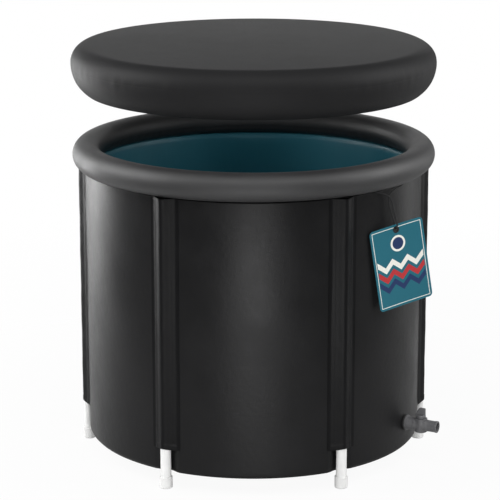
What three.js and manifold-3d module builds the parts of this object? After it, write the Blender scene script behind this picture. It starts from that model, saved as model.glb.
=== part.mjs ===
// A cold plunge tub: a padded fabric cylinder with an inflatable top ring, held up by six
// pipe legs in welded sleeves, with a drain valve, an inflatable lid and a hang tag.
// Millimetres, +Z up. The origin is on the tub's axis at the floor, and the front is -Y.
// Angles around the tub are in degrees from the front, growing towards +X.

import * as THREE from 'three';
import { mergeVertices } from 'three/addons/utils/BufferGeometryUtils.js';
import Module from 'manifold-3d';

const wasm = await Module();
wasm.setup();

// Tub wall, from the outside in
const WALL_RADIUS = 400;
const WALL_SKIN = 1.2;
const WALL_FOAM = 14;
const LINER = 1.2;
const LAYER_GAP = 0.5;

// Tub base, from the underside up
const BASE_HEIGHT = 37;
const BASE_PANEL = 1.5;
const FLOOR_FOAM = 12;
const LINER_CORNER = 14;

// Inflatable top ring
const RING_CENTRE_RADIUS = 397;
const RING_TUBE_RADIUS = 33;
const RING_HEIGHT = 718;
const INFLATED_SKIN = 1.5;

// Legs and their sleeves
const LEG_COUNT = 6;
const FIRST_LEG = 30;
const LEG_CIRCLE = 403;
const PIPE_RADIUS = 12.25;
const PIPE_WALL = 2;
const PIPE_TOP = 674;
const FOOT_RADIUS = 15.25;
const FOOT_HEIGHT = 27;
const FOOT_SOLE = 3.3;
const GROOVE_DEPTH = 9.7;
const GROOVE_HALF_ANGLE = 5;
const SLEEVE_BOTTOM = 92;
const SLEEVE_TOP = 683;
const SLEEVE_CLOSURE = 8;
const SLEEVE_HALF_WIDTH = 35;
const SLEEVE_CLOTH = 1.2;
const SLEEVE_EASE = 0.5;

// Drain valve, along a radial axis; distances are from the tub's axis
const DRAIN_ANGLE = 64;
const DRAIN_HEIGHT = 98;
const DRAIN_BORE = 8;
const THREAD_RADIUS = 13;
const FLANGE_RADIUS = 18.5;
const WASHER = 2.4;
const LOCKNUT = 6;
const UNION_RADIUS = 15;
const UNION_END = 424;
const VALVE_RADIUS = 15.5;
const BARREL_RADIUS = 15;
const BARREL_CENTRE = 440;
const BARREL_HALF_HEIGHT = 16.5;
const SPOUT_RADIUS = 14;
const SPOUT_BORE = 10;
const SPOUT_END = 482;
const PLUG_RADIUS = 11.3;
const STUD_RADIUS = 3.5;
const STEM_RADIUS = 5;
const HANDLE_HEIGHT = 25;

// Inflatable lid, hovering over the ring
const LID_BOTTOM = 868;
const LID_RADIUS = 430;
const LID_UNDERSIDE_RADIUS = 396;
const LID_SEAM_HEIGHT = 66;
const LID_SHOULDER = 42;
const LID_CROWN = 7.5;
const WEB_RADII = { inner: 150, outer: 300 };
const WEB_CLOTH = 0.8;
const WEB_AIR_GAP = 10;

// Air valves of the ring and of the lid
const AIR_FLANGE = 14;
const AIR_NECK = 7.5;
const AIR_BORE = 5.5;
const AIR_NECK_DEPTH = 12;
const RING_VALVE_ANGLE = 180;
const RING_VALVE_DROP = 45;
const LID_VALVE_RADIUS = 225;

// Hang tag
const TAG_WIDTH = 140;
const TAG_HEIGHT = 194;
const TAG_CARD = 1.2;
const TAG_CORNER = 9;
const TAG_HOLE_DEPTH = 12;
const TAG_FACING = 27;
const TAG_LEAN = 10;
const EYELET_BORE = 5;
const CORD_RADIUS = 1.5;
const HANG_ANGLE = 50;

// General clearances and counts of facets
const GAP = 0.3;
const AROUND = 40;
const SMALL_AROUND = 20;
const PIPE_AROUND = 16;
const TUBE_AROUND = 16;
const WEB_AROUND = 24;
const CORD_AROUND = 8;
const MERGE_DISTANCE = 1e-4;

const radians = THREE.MathUtils.degToRad;

const colours = {
  blackFabric: new THREE.MeshStandardMaterial({ color: 0x1d1d1e, roughness: 0.55 }),
  greyFabric: new THREE.MeshStandardMaterial({ color: 0x3d3d3e, roughness: 0.6 }),
  tealLiner: new THREE.MeshStandardMaterial({ color: 0x1e3c4b, roughness: 0.45 }),
  foam: new THREE.MeshStandardMaterial({ color: 0xd8d8d2, roughness: 0.9 }),
  whitePipe: new THREE.MeshStandardMaterial({ color: 0xeeeeec, roughness: 0.35 }),
  charcoalPlastic: new THREE.MeshStandardMaterial({ color: 0x4c4c4d, roughness: 0.45 }),
  blackRubber: new THREE.MeshStandardMaterial({ color: 0x161616, roughness: 0.8 }),
  tealCard: new THREE.MeshStandardMaterial({ color: 0x2a6b7b, roughness: 0.5 }),
  blackCord: new THREE.MeshStandardMaterial({ color: 0x111111, roughness: 0.85 }),
};
for (const colour of Object.values(colours)) {
  colour.flatShading = true;
}

// Geometry helpers

// A closed mesh with shared vertices, no collapsed triangles, and its faces pointing out.
function closed(geometry) {
  const bare = new THREE.BufferGeometry();
  bare.setAttribute('position', geometry.getAttribute('position').clone());
  bare.setIndex(geometry.index);
  const merged = mergeVertices(bare, MERGE_DISTANCE);
  const position = merged.getAttribute('position');
  const corner = [new THREE.Vector3(), new THREE.Vector3(), new THREE.Vector3()];
  const kept = [];
  let volume = 0;
  for (let i = 0; i < merged.index.count; i += 3) {
    const [a, b, c] = [0, 1, 2].map((k) => merged.index.getX(i + k));
    if (a === b || b === c || c === a) continue;
    kept.push([a, b, c]);
    corner.forEach((point, k) => point.fromBufferAttribute(position, [a, b, c][k]));
    volume += corner[0].dot(corner[1].cross(corner[2])) / 6;
  }
  const facingOut = volume > 0 ? kept : kept.map(([a, b, c]) => [a, c, b]);
  merged.setIndex(facingOut.flat());
  return merged;
}

function solid(geometry) {
  const mesh = closed(geometry);
  return new wasm.Manifold(
    new wasm.Mesh({
      numProp: 3,
      vertProperties: new Float32Array(mesh.getAttribute('position').array),
      triVerts: new Uint32Array(mesh.index.array),
    }),
  );
}

function shapeOf(body) {
  const mesh = body.getMesh();
  const geometry = new THREE.BufferGeometry();
  geometry.setAttribute('position', new THREE.BufferAttribute(mesh.vertProperties.slice(), 3));
  geometry.setIndex(Array.from(mesh.triVerts));
  return geometry;
}

const joined = (...geometries) => shapeOf(geometries.map(solid).reduce((a, b) => a.add(b)));

const cut = (geometry, ...tools) =>
  shapeOf(tools.reduce((body, tool) => body.subtract(solid(tool)), solid(geometry)));

// A profile of [radius, height] points turned about Z.
function turned(profile, sides) {
  const points = profile.map(([radius, height]) => new THREE.Vector2(radius, height));
  return new THREE.LatheGeometry(points, sides).rotateX(Math.PI / 2);
}

// The same about a ring-shaped section, which closes on itself.
const turnedRing = (profile, sides) => turned([...profile, profile[0]], sides);

const tube = (outer, inner, from, to, sides) =>
  turnedRing([[inner, from], [outer, from], [outer, to], [inner, to]], sides);

const rod = (radius, from, to, sides) =>
  turned([[0, from], [radius, from], [radius, to], [0, to]], sides);

// An outline of Vector2 points, with holes, raised along Z.
function raised(outline, from, to, holes = []) {
  const shape = new THREE.Shape(outline);
  shape.holes = holes.map((hole) => new THREE.Path(hole));
  const depth = to - from;
  return new THREE.ExtrudeGeometry(shape, { depth, bevelEnabled: false }).translate(0, 0, from);
}

// What is turned about Z is laid along +X.
const laidOut = (geometry) => geometry.rotateY(Math.PI / 2);

function circleOutline(radius, sides) {
  const points = [];
  for (let i = 0; i < sides; i++) {
    const turn = (2 * Math.PI * i) / sides;
    points.push(new THREE.Vector2(radius * Math.cos(turn), radius * Math.sin(turn)));
  }
  return points;
}

const plan = (radius, degrees) =>
  new THREE.Vector2(radius * Math.sin(radians(degrees)), -radius * Math.cos(radians(degrees)));

// A group whose +X points out from the tub's axis at an angle around the tub.
function outwardGroup(degrees, parent) {
  const group = new THREE.Group();
  group.rotation.z = radians(degrees - 90);
  parent.add(group);
  return group;
}

function piece(name, geometry, colour, parent) {
  const mesh = new THREE.Mesh(closed(geometry), colour);
  mesh.name = name;
  parent.add(mesh);
  return mesh;
}

const tub = new THREE.Group();
const legAngle = (leg) => FIRST_LEG + (leg * 360) / LEG_COUNT;

// Padded wall and base

// The tub's plan outline. Each leg presses a smooth groove into the padded wall.
function groovedOutline(radius) {
  const grooveSteps = 6;
  const plainStep = 5;
  const sector = 360 / LEG_COUNT;
  const offsets = [];
  for (let i = 0; i <= grooveSteps; i++) {
    offsets.push(GROOVE_HALF_ANGLE * ((2 * i) / grooveSteps - 1));
  }
  for (let turn = GROOVE_HALF_ANGLE + plainStep; turn < sector - GROOVE_HALF_ANGLE; turn += plainStep) {
    offsets.push(turn);
  }
  const points = [];
  for (let leg = 0; leg < LEG_COUNT; leg++) {
    for (const offset of offsets) {
      const across = Math.min(Math.abs(offset) / GROOVE_HALF_ANGLE, 1);
      const groove = GROOVE_DEPTH * Math.cos((across * Math.PI) / 2) ** 2;
      points.push(plan(radius - groove, legAngle(leg) + offset));
    }
  }
  return points;
}

const wallSkinInside = WALL_RADIUS - WALL_SKIN;
const foamOutside = wallSkinInside - LAYER_GAP;
const foamInside = foamOutside - WALL_FOAM;
const linerOutside = foamInside - LAYER_GAP;
const linerInside = linerOutside - LINER;
const wallBottom = BASE_HEIGHT + BASE_PANEL + LAYER_GAP;
const wallTop = RING_HEIGHT - RING_TUBE_RADIUS - LAYER_GAP;
const linerBottom = wallBottom + FLOOR_FOAM + LAYER_GAP;

// The hole through every layer of the wall for the drain's thread.
function drainHole() {
  const clearance = 0.8;
  const reach = 2 * WALL_FOAM;
  const hole = rod(THREAD_RADIUS + clearance, linerInside - reach, WALL_RADIUS + reach, SMALL_AROUND);
  return laidOut(hole).translate(0, 0, DRAIN_HEIGHT).rotateZ(radians(DRAIN_ANGLE - 90));
}

const wallSkin = raised(groovedOutline(WALL_RADIUS), wallBottom, wallTop, [
  groovedOutline(wallSkinInside),
]);
piece('wall_skin', cut(wallSkin, drainHole()), colours.blackFabric, tub);

const wallFoam = raised(groovedOutline(foamOutside), wallBottom, wallTop, [
  circleOutline(foamInside, AROUND),
]);
piece('wall_foam', cut(wallFoam, drainHole()), colours.foam, tub);

// The liner is a cup with a rounded corner between its floor and its wall.
function linerCup() {
  const cornerSteps = 3;
  const corner = (radius) => {
    const points = [];
    for (let i = 0; i <= cornerSteps; i++) {
      const turn = ((Math.PI / 2) * i) / cornerSteps;
      const fromAxis = linerOutside - LINER_CORNER + radius * Math.sin(turn);
      points.push([fromAxis, linerBottom + LINER_CORNER - radius * Math.cos(turn)]);
    }
    return points;
  };
  const outer = [[0, linerBottom], ...corner(LINER_CORNER), [linerOutside, wallTop]];
  const inner = [[linerInside, wallTop], ...corner(LINER_CORNER - LINER).reverse()];
  return turned([...outer, ...inner, [0, linerBottom + LINER]], AROUND);
}
piece('wall_liner', cut(linerCup(), drainHole()), colours.tealLiner, tub);

const floorFoam = rod(foamInside - 2 * LAYER_GAP, wallBottom, wallBottom + FLOOR_FOAM, AROUND);
piece('floor_foam', floorFoam.rotateZ(Math.PI / 2), colours.foam, tub);

const basePanel = raised(groovedOutline(WALL_RADIUS), BASE_HEIGHT, BASE_HEIGHT + BASE_PANEL);
piece('base_panel', basePanel, colours.blackFabric, tub);

// Air valves: a flanged neck welded into an inflated skin, and a push-in cap.
// Each is made on its own axis, with the skin's outer face at height 0 and +Z outwards.
const airFlangeThickness = 2.4;

function airNeck() {
  return tube(AIR_NECK, AIR_BORE, -AIR_NECK_DEPTH, airFlangeThickness, SMALL_AROUND);
}

function airFlange(depth) {
  const edge = 0.8;
  return turnedRing(
    [
      [AIR_BORE, -depth],
      [AIR_FLANGE, -depth],
      [AIR_FLANGE, airFlangeThickness - edge],
      [AIR_FLANGE - 2 * edge, airFlangeThickness],
      [AIR_BORE, airFlangeThickness],
    ],
    SMALL_AROUND,
  );
}

function airCap() {
  const plugDepth = 8;
  const headRadius = 9;
  const headThickness = 4;
  const headEdge = 1;
  const bottom = airFlangeThickness + GAP;
  return turned(
    [
      [0, -plugDepth],
      [AIR_BORE - 2 * GAP, -plugDepth],
      [AIR_BORE - GAP, bottom],
      [headRadius, bottom],
      [headRadius, bottom + headThickness - headEdge],
      [headRadius - headEdge, bottom + headThickness],
      [0, bottom + headThickness],
    ],
    SMALL_AROUND,
  );
}

const airHole = () => rod(AIR_NECK + GAP, -2 * AIR_NECK_DEPTH, AIR_NECK_DEPTH, SMALL_AROUND);

// Inflatable top ring, with its air valve low on the outside at the back

function ringTorus(tubeRadius, sides) {
  const torus = new THREE.TorusGeometry(RING_CENTRE_RADIUS, tubeRadius, sides, AROUND);
  return torus.translate(0, 0, RING_HEIGHT);
}

const ringValveSide = outwardGroup(RING_VALVE_ANGLE, tub);
const ringValve = new THREE.Group();
ringValve.position.set(
  RING_CENTRE_RADIUS + RING_TUBE_RADIUS * Math.cos(radians(RING_VALVE_DROP)),
  0,
  RING_HEIGHT - RING_TUBE_RADIUS * Math.sin(radians(RING_VALVE_DROP)),
);
ringValve.rotation.y = radians(90 + RING_VALVE_DROP);
ringValveSide.add(ringValve);
ringValve.updateWorldMatrix(true, false);

const ringSkin = cut(
  ringTorus(RING_TUBE_RADIUS, TUBE_AROUND),
  ringTorus(RING_TUBE_RADIUS - INFLATED_SKIN, TUBE_AROUND / 2),
  airHole().applyMatrix4(ringValve.matrixWorld),
);
piece('inflatable_ring', ringSkin, colours.greyFabric, tub);

// The ring's flange is a saddle that follows the tube.
const saddleDepth = 6;
const tubeUnderSaddle = ringTorus(RING_TUBE_RADIUS + GAP, TUBE_AROUND);
tubeUnderSaddle.applyMatrix4(ringValve.matrixWorld.clone().invert());
const saddle = cut(airFlange(saddleDepth), tubeUnderSaddle);
piece('ring_air_valve', joined(saddle, airNeck()), colours.charcoalPlastic, ringValve);
piece('ring_air_cap', airCap(), colours.charcoalPlastic, ringValve);

// Legs: a pipe with a slip-on foot, in a sleeve welded to the wall

// Distance of the sleeve's inner face from the tub's axis, across the sleeve.
function sleeveInside(across) {
  const base = WALL_RADIUS + GAP;
  const rise = LEG_CIRCLE + PIPE_RADIUS + SLEEVE_EASE - base;
  const bulge = Math.cos((Math.PI * across) / (2 * SLEEVE_HALF_WIDTH)) ** 2;
  return Math.sqrt(base ** 2 - across ** 2) + rise * bulge;
}

const wallFace = (across) => Math.sqrt((WALL_RADIUS + GAP) ** 2 - across ** 2);

// The band between two faces of the sleeve's section, from edge to edge.
function sleeveBand(innerFace, outerFace, halfWidth) {
  const steps = 6;
  const inner = [];
  for (let i = -steps; i <= steps; i++) {
    const across = (halfWidth * i) / steps;
    inner.push(new THREE.Vector2(innerFace(across), across));
  }
  const outer = inner.map(({ y }) => new THREE.Vector2(outerFace(y), y)).reverse();
  return [...inner, ...outer];
}

// The sleeve is open below, and welded shut above the pipe's end.
function sleeve() {
  const outside = (across) => sleeveInside(across) + SLEEVE_CLOTH;
  const middle = (across) => sleeveInside(across) + SLEEVE_CLOTH / 2;
  const strip = sleeveBand(sleeveInside, outside, SLEEVE_HALF_WIDTH);
  const closure = sleeveBand(wallFace, middle, SLEEVE_HALF_WIDTH - SLEEVE_CLOTH);
  return joined(
    raised(strip, SLEEVE_BOTTOM, SLEEVE_TOP),
    raised(closure, SLEEVE_TOP - SLEEVE_CLOSURE, SLEEVE_TOP - LAYER_GAP),
  );
}

function foot() {
  const edge = 1.75;
  const rim = 1;
  const socket = PIPE_RADIUS + GAP;
  return turned(
    [
      [0, 0],
      [FOOT_RADIUS - edge, 0],
      [FOOT_RADIUS, edge],
      [FOOT_RADIUS - GAP, FOOT_HEIGHT - edge],
      [FOOT_RADIUS - rim, FOOT_HEIGHT],
      [socket, FOOT_HEIGHT],
      [socket, FOOT_SOLE],
      [0, FOOT_SOLE],
    ],
    PIPE_AROUND,
  );
}

for (let leg = 0; leg < LEG_COUNT; leg++) {
  const side = outwardGroup(legAngle(leg), tub);
  const pipe = tube(PIPE_RADIUS, PIPE_RADIUS - PIPE_WALL, FOOT_SOLE + GAP, PIPE_TOP, PIPE_AROUND);
  piece(`leg_sleeve_${leg + 1}`, sleeve(), colours.blackFabric, side);
  piece(`leg_pipe_${leg + 1}`, pipe.translate(LEG_CIRCLE, 0, 0), colours.whitePipe, side);
  piece(`leg_foot_${leg + 1}`, foot().translate(LEG_CIRCLE, 0, 0), colours.whitePipe, side);
}

// Drain valve: a tailpiece clamped through the wall, and a plug valve with its spout.
// Its pieces are turned about the drain's axis, which lies along +X in this group.

const drain = outwardGroup(DRAIN_ANGLE, tub);
drain.position.z = DRAIN_HEIGHT;

const flangeThickness = 4;
const nutCornerStep = 2;
const threadPastNut = 3;
const outerWasherFrom = WALL_RADIUS + GAP;
const flangeFrom = outerWasherFrom + WASHER + GAP;
const flangeTo = flangeFrom + flangeThickness;
const linerFlat = linerInside * Math.cos(Math.PI / AROUND);
const innerWasherTo = Math.sqrt(linerFlat ** 2 - FLANGE_RADIUS ** 2) - GAP;
const innerWasherFrom = innerWasherTo - WASHER;
const locknutTo = innerWasherFrom - GAP;
const locknutFrom = locknutTo - LOCKNUT;
const threadEnd = locknutFrom - threadPastNut;
const threadHole = THREAD_RADIUS + GAP;

function washer(from) {
  return laidOut(tube(FLANGE_RADIUS, threadHole, from, from + WASHER, SMALL_AROUND));
}
piece('drain_outer_washer', washer(outerWasherFrom), colours.blackRubber, drain);
piece('drain_inner_washer', washer(innerWasherFrom), colours.blackRubber, drain);

const hexagon = circleOutline(FLANGE_RADIUS + nutCornerStep, 6);
const locknut = raised(hexagon, locknutFrom, locknutTo, [circleOutline(threadHole, SMALL_AROUND)]);
piece('drain_locknut', laidOut(locknut), colours.charcoalPlastic, drain);

const tailpiece = turnedRing(
  [
    [DRAIN_BORE, threadEnd],
    [THREAD_RADIUS, threadEnd],
    [THREAD_RADIUS, flangeFrom],
    [FLANGE_RADIUS, flangeFrom],
    [FLANGE_RADIUS, flangeTo],
    [UNION_RADIUS, flangeTo],
    [UNION_RADIUS, UNION_END - GAP],
    [DRAIN_BORE, UNION_END - GAP],
  ],
  SMALL_AROUND,
);
piece('drain_tailpiece', laidOut(tailpiece), colours.charcoalPlastic, drain);

// The valve body: an upright barrel for the plug, crossed by the way through to the spout.
function valveBody() {
  const collar = 4;
  const lip = 5;
  const lipStep = 0.6;
  const wayWall = 4;
  const past = 1;
  const collarTo = UNION_END + collar;
  const bodyTo = BARREL_CENTRE + BARREL_RADIUS - past;
  const lipFrom = SPOUT_END - lip;
  const run = turned(
    [
      [0, UNION_END],
      [VALVE_RADIUS, UNION_END],
      [VALVE_RADIUS, collarTo],
      [SPOUT_RADIUS, bodyTo],
      [SPOUT_RADIUS - lipStep, lipFrom],
      [SPOUT_RADIUS, lipFrom + lipStep],
      [SPOUT_RADIUS, SPOUT_END],
      [0, SPOUT_END],
    ],
    SMALL_AROUND,
  );
  const barrel = rod(BARREL_RADIUS, -BARREL_HALF_HEIGHT, BARREL_HALF_HEIGHT, SMALL_AROUND);
  const way = rod(DRAIN_BORE, UNION_END - past, SPOUT_END + past, SMALL_AROUND);
  const mouth = rod(SPOUT_BORE, BARREL_CENTRE + PLUG_RADIUS + wayWall, SPOUT_END + past, SMALL_AROUND);
  const cavity = rod(PLUG_RADIUS + 2 * GAP, plugBottom - GAP, BARREL_HALF_HEIGHT + past, SMALL_AROUND);
  const studHole = rod(STUD_RADIUS + GAP, -BARREL_HALF_HEIGHT - past, 0, SMALL_AROUND);
  const upright = (geometry) => geometry.translate(BARREL_CENTRE, 0, 0);
  return cut(
    joined(laidOut(run), upright(barrel)),
    laidOut(way),
    laidOut(mouth),
    upright(cavity),
    upright(studHole),
  );
}

// The plug turns in the barrel on its own axis. A groove near its top holds the seal ring,
// and a stud through the barrel's floor holds the clip.
const barrelFloor = 3;
const plugBottom = -BARREL_HALF_HEIGHT + barrelFloor;
const plugTop = BARREL_HALF_HEIGHT;
const stemHeight = 5;
const stemTop = plugTop + stemHeight;
const clipThickness = 2;
const clipWidth = 4.5;
const studTail = 1;
const clipTop = -BARREL_HALF_HEIGHT - GAP;
const sealDepth = 4;
const sealHeight = plugTop - sealDepth;
const sealRadius = 0.8;
const sealGroove = 1.1;
const grooveDepth = 1.6;
const grooveFloor = PLUG_RADIUS - grooveDepth;
const studBottom = clipTop - clipThickness - studTail;

piece('valve_body', valveBody(), colours.charcoalPlastic, drain);

const valve = new THREE.Group();
valve.position.x = BARREL_CENTRE;
drain.add(valve);

const plugBlank = turned(
  [
    [0, studBottom],
    [STUD_RADIUS, studBottom],
    [STUD_RADIUS, plugBottom],
    [PLUG_RADIUS, plugBottom],
    [PLUG_RADIUS, sealHeight - sealGroove],
    [grooveFloor, sealHeight - sealGroove],
    [grooveFloor, sealHeight + sealGroove],
    [PLUG_RADIUS, sealHeight + sealGroove],
    [PLUG_RADIUS, plugTop],
    [STEM_RADIUS, plugTop],
    [STEM_RADIUS, stemTop],
    [0, stemTop],
  ],
  SMALL_AROUND,
);
const crossBore = laidOut(rod(DRAIN_BORE, -2 * PLUG_RADIUS, 2 * PLUG_RADIUS, SMALL_AROUND));
piece('valve_plug', cut(plugBlank, crossBore), colours.charcoalPlastic, valve);

const sealSection = circleOutline(sealRadius, 6).map(({ x, y }) => [
  grooveFloor + GAP + sealRadius + x,
  sealHeight + y,
]);
piece('plug_seal_ring', turnedRing(sealSection, SMALL_AROUND), colours.blackRubber, valve);

const clip = tube(STUD_RADIUS + clipWidth, STUD_RADIUS + GAP, clipTop - clipThickness, clipTop, SMALL_AROUND);
piece('plug_clip', clip, colours.blackRubber, valve);

// The handle is a tapered fin in line with the spout when the valve is open.
function handle() {
  const hubRadius = 11;
  const hubHeight = 8;
  const finThickness = 6.5;
  const fin = { back: 14, front: 11, topBack: 5, topFront: 10.5, edge: 2 };
  const foot = plugTop + GAP;
  const finFoot = foot + hubHeight / 2;
  const top = foot + HANDLE_HEIGHT;
  const outline = [
    new THREE.Vector2(-fin.back, finFoot),
    new THREE.Vector2(fin.front, finFoot),
    new THREE.Vector2(fin.topFront, top - fin.edge),
    new THREE.Vector2(fin.topFront - fin.edge, top),
    new THREE.Vector2(fin.edge - fin.topBack, top),
    new THREE.Vector2(-fin.topBack, top - fin.edge),
    new THREE.Vector2(-fin.back, foot + hubHeight),
  ];
  const blade = raised(outline, -finThickness / 2, finThickness / 2).rotateX(Math.PI / 2);
  const hub = rod(hubRadius, foot, foot + hubHeight, SMALL_AROUND);
  const socket = rod(STEM_RADIUS + GAP, foot - hubHeight, stemTop + GAP, SMALL_AROUND);
  return cut(joined(hub, blade), socket);
}
piece('valve_handle', handle(), colours.charcoalPlastic, valve);

// Inflatable lid: two welded skins held flat by two tie webs

const lid = new THREE.Group();
lid.position.z = LID_BOTTOM;
tub.add(lid);

const seamBand = 2;
const lowerSideDraw = 3;
const shoulderRadius = LID_RADIUS - LID_SHOULDER;
const shoulderHeight = LID_SEAM_HEIGHT + seamBand;
const lidTopAt = (radius) =>
  shoulderHeight + LID_SHOULDER + LID_CROWN * (1 - (radius / shoulderRadius) ** 2);

// The lid's upper face, a distance inside the outer one: a low crown, then a round shoulder.
function lidUpperFace(inset) {
  const crownSteps = 3;
  const shoulderSteps = 6;
  const points = [];
  for (let i = 0; i < crownSteps; i++) {
    const radius = (shoulderRadius * i) / crownSteps;
    points.push([radius, lidTopAt(radius) - inset]);
  }
  for (let i = 0; i <= shoulderSteps; i++) {
    const turn = ((Math.PI / 2) * i) / shoulderSteps;
    const reach = LID_SHOULDER - inset;
    points.push([shoulderRadius + reach * Math.sin(turn), shoulderHeight + reach * Math.cos(turn)]);
  }
  return points;
}

// The lid's lower face: the side draws in below the seam, to a flat underside.
function lidLowerFace(inset) {
  const sideSteps = 5;
  const side = new THREE.QuadraticBezierCurve(
    new THREE.Vector2(LID_RADIUS - inset, LID_SEAM_HEIGHT - seamBand),
    new THREE.Vector2(LID_RADIUS - lowerSideDraw - inset, LID_SEAM_HEIGHT / 3),
    new THREE.Vector2(LID_UNDERSIDE_RADIUS - inset, inset),
  );
  return side.getPoints(sideSteps).map(({ x, y }) => [x, y]);
}

// The two skins pinch in a little where they meet.
const seamPinch = 1.8;
const seamUnder = LID_SEAM_HEIGHT - GAP / 2;
const seamOver = LID_SEAM_HEIGHT + GAP / 2;
const seamOutside = LID_RADIUS - seamPinch;
const seamInside = seamOutside - INFLATED_SKIN;

const lidTopSkin = turned(
  [
    ...lidUpperFace(0),
    [seamOutside, seamOver],
    [seamInside, seamOver],
    ...lidUpperFace(INFLATED_SKIN).reverse(),
  ],
  AROUND,
);
piece('lid_top_skin', lidTopSkin, colours.greyFabric, lid);

const lidValve = new THREE.Group();
lidValve.position.y = LID_VALVE_RADIUS;
lidValve.rotation.x = Math.PI;
lid.add(lidValve);
lidValve.updateMatrix();

const lidBottomSkin = turned(
  [
    [0, INFLATED_SKIN],
    ...lidLowerFace(INFLATED_SKIN).reverse(),
    [seamInside, seamUnder],
    [seamOutside, seamUnder],
    ...lidLowerFace(0),
    [0, 0],
  ],
  AROUND,
);
const lidAirHole = airHole().applyMatrix4(lidValve.matrix);
piece('lid_bottom_skin', cut(lidBottomSkin, lidAirHole), colours.greyFabric, lid);

// A tie web is a band bent nearly all the way round, so that air passes its open ends.
function tieWeb(radius) {
  const outline = [];
  const back = [];
  for (let i = 0; i <= WEB_AROUND; i++) {
    const turn = WEB_AIR_GAP / 2 + ((360 - WEB_AIR_GAP) * i) / WEB_AROUND;
    outline.push(plan(radius, turn));
    back.push(plan(radius - WEB_CLOTH, turn));
  }
  const from = INFLATED_SKIN + GAP;
  return raised([...outline, ...back.reverse()], from, lidTopAt(radius) - 2 * INFLATED_SKIN);
}
for (const [place, radius] of Object.entries(WEB_RADII)) {
  piece(`lid_${place}_web`, tieWeb(radius), colours.blackFabric, lid);
}

const lidFlange = airFlange(-GAP);
piece('lid_air_valve', joined(lidFlange, airNeck()), colours.charcoalPlastic, lidValve);
piece('lid_air_cap', airCap(), colours.charcoalPlastic, lidValve);

// Hang tag: a card on a cord that loops through its eyelet.
// Points here are [across, out, height]: along the wall, out from the tub's axis, and up.

const hangSide = outwardGroup(HANG_ANGLE, tub);
const hung = ([across, out, height]) => new THREE.Vector3(out, across, height);
const eyelet = hung([-3.3, 424, 593]);

const tag = new THREE.Group();
const turnFromWall = radians(HANG_ANGLE - TAG_FACING);
const tagNormal = new THREE.Vector3(Math.cos(turnFromWall), -Math.sin(turnFromWall), 0);
const tagUp = new THREE.Vector3(0, 0, 1).applyAxisAngle(tagNormal, radians(TAG_LEAN));
const tagRight = new THREE.Vector3().crossVectors(tagUp, tagNormal);
tag.applyMatrix4(new THREE.Matrix4().makeBasis(tagRight, tagUp, tagNormal).setPosition(eyelet));
hangSide.add(tag);

// The card's outline, with the eyelet's centre at the origin.
function cardOutline() {
  const shape = new THREE.Shape();
  const half = TAG_WIDTH / 2 - TAG_CORNER;
  const top = TAG_HOLE_DEPTH - TAG_CORNER;
  const bottom = TAG_HOLE_DEPTH - TAG_HEIGHT + TAG_CORNER;
  shape.absarc(half, bottom, TAG_CORNER, -Math.PI / 2, 0);
  shape.absarc(half, top, TAG_CORNER, 0, Math.PI / 2);
  shape.absarc(-half, top, TAG_CORNER, Math.PI / 2, Math.PI);
  shape.absarc(-half, bottom, TAG_CORNER, Math.PI, 1.5 * Math.PI);
  return shape.getPoints(4);
}

const eyeletWall = 0.7;
const cardHole = circleOutline(EYELET_BORE + eyeletWall + GAP, SMALL_AROUND);
const card = raised(cardOutline(), -TAG_CARD / 2, TAG_CARD / 2, [cardHole]);
piece('tag_card', card, colours.tealCard, tag);

function eyeletRing() {
  const rimWidth = 3;
  const rimThickness = 0.5;
  const rim = EYELET_BORE + rimWidth;
  const grip = TAG_CARD / 2 + GAP;
  const face = grip + rimThickness;
  const wall = EYELET_BORE + eyeletWall;
  return turnedRing(
    [
      [EYELET_BORE, -face],
      [rim, -face],
      [rim, -grip],
      [wall, -grip],
      [wall, grip],
      [rim, grip],
      [rim, face],
      [EYELET_BORE, face],
    ],
    SMALL_AROUND,
  );
}
piece('tag_eyelet', eyeletRing(), colours.blackRubber, tag);

// The cord leaves the crease under the ring, crosses in front of its own other end, passes
// through the eyelet from the front, and goes back up behind the card to the crease.
const cordRoute = [
  [-52, 400.6, 684.6],
  [-45, 401.4, 683.2],
  [-36, 402.8, 680.6],
  [-26, 405.4, 677],
  [-17, 408.6, 672.6],
  [-10, 411.6, 666],
  [-6, 414.4, 655],
  [-4.4, 418, 640],
  [-4.4, 422.4, 625],
  [-5.4, 427.2, 612],
  [-5.7, 429.6, 603],
  [-4.9, 428.2, 597.6],
  [-3.3, 424, 595.4],
  [-1.7, 419.8, 597.6],
  [-0.9, 418.4, 603],
  [-3, 417.4, 613],
  [-7, 415, 627],
  [-10.4, 411.6, 643],
  [-11, 408.2, 658],
  [-7, 406.4, 668],
  [2, 405.4, 674.4],
  [14, 404.4, 678.6],
  [26, 403.4, 681.4],
  [40, 402.2, 683.4],
  [52, 400.6, 684.6],
];
const cordSteps = 48;
const cordCurve = new THREE.CatmullRomCurve3(cordRoute.map(hung), false, 'centripetal');
const cord = new THREE.ExtrudeGeometry(new THREE.Shape(circleOutline(CORD_RADIUS, CORD_AROUND)), {
  steps: cordSteps,
  extrudePath: cordCurve,
});
piece('tag_cord', cord, colours.blackCord, hangSide);

export default tub;
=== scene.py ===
# %% [markdown]
# # A cold plunge tub, piece by piece
# The tub is a padded fabric cylinder on six pipe legs, with an inflated ring round its mouth, a drain valve
# low on one side, an inflated lid held over it and a hang tag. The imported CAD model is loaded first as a
# fixed frame. Each soft or rounded piece is then replaced, in the same place, by a finer surface worked out
# with numpy.

# %% Load the frame
import math

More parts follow.
